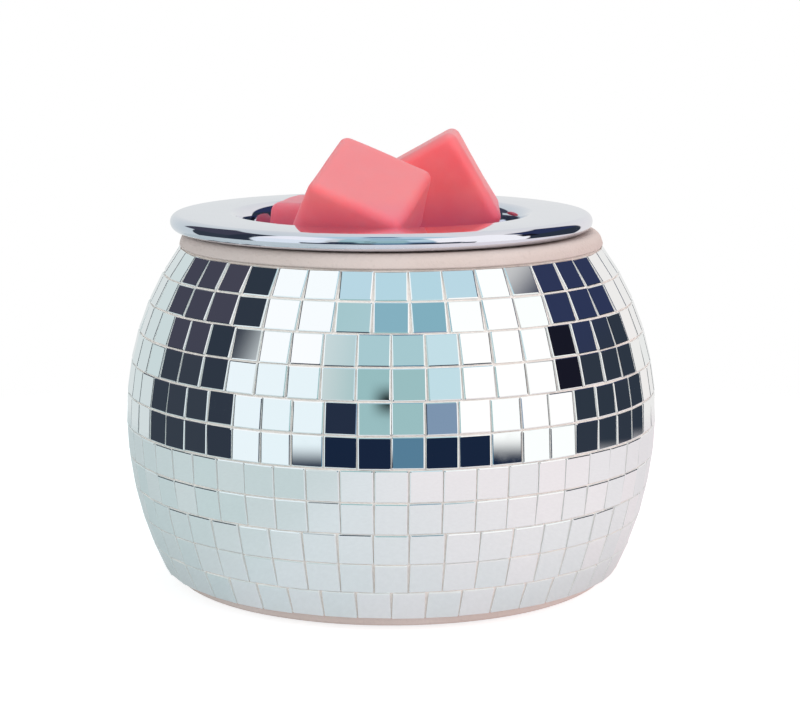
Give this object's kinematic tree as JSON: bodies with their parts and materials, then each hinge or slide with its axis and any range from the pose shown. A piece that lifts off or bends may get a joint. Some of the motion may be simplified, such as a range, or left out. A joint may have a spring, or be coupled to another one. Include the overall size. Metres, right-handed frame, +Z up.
{
  "type": "wax warmer",
  "caption": "Round table-top wax warmer: a ceramic pot covered in square mirror tiles, with an electric hot plate and a lift-off chrome dish of wax melts.",
  "frame": {"origin": "on the table, under the middle of the pot", "axes": "+Z up, -Y to the front, +Y to the cord inlet at the back"},
  "size_m": [0.1314, 0.1314, 0.1107],
  "materials": {
    "pot_ceramic": "matt beige glaze",
    "mirror_glass": "silvered glass tiles with pale aqua edges",
    "chrome_plate": "polished chrome plate",
    "coral_wax": "soft translucent coral-pink wax",
    "base_plastic": "fine-grained black plastic",
    "rubber": "matt black rubber",
    "cup_steel": "drawn steel",
    "plate_aluminium": "machined aluminium",
    "screw_steel": "zinc-plated steel",
    "brass": "knurled brass",
    "silicone": "pale silicone",
    "mica": "pressed mica",
    "heating_stone": "fired heating ceramic",
    "block_nylon": "natural nylon",
    "lead_brown": "brown insulation",
    "lead_blue": "blue insulation"
  },
  "bodies": {
    "pot": {"pot_shell": "pot_ceramic", "base_plate": "base_plastic", "rubber_feet": "rubber", "cord_grommet": "rubber", "heater_cup": "cup_steel", "hot_plate": "plate_aluminium", "mirror_strip_1": "mirror_glass", "mirror_strip_2": "mirror_glass", "mirror_strip_3": "mirror_glass", "mirror_strip_4": "mirror_glass", "mirror_strip_5": "mirror_glass", "mirror_strip_6": "mirror_glass", "thread_inserts": "brass", "long_screws": "screw_steel", "cup_gasket": "silicone", "hot_plate_screws": "screw_steel", "upper_insulator": "mica", "upper_electrode": "plate_aluminium", "ptc_stone": "heating_stone", "lower_electrode": "plate_aluminium", "lower_insulator": "mica", "clamp_bar": "screw_steel", "clamp_screws": "screw_steel", "heat_shield": "plate_aluminium", "spacer_sleeves": "screw_steel", "push_nuts": "screw_steel", "shield_bushes": "silicone", "terminal_block": "block_nylon", "terminal_screws": "screw_steel", "block_screw": "screw_steel", "live_lead": "lead_brown", "neutral_lead": "lead_blue", "thermal_fuse": "screw_steel", "fuse_sleeve": "silicone"},
    "dish": {"wax_dish": "chrome_plate"},
    "wax": {"wax_cube_left": "coral_wax", "wax_cube_back": "coral_wax", "wax_cube_front": "coral_wax"}
  },
  "joints": [
    {"name": "dish_lift", "type": "slide", "parent": "pot", "child": "dish", "axis": [0, 0, 1], "range_m": [0, 0.06]},
    {"name": "wax_lift", "type": "slide", "parent": "dish", "child": "wax", "axis": [0, 0, 1], "range_m": [0, 0.05]}
  ]
}
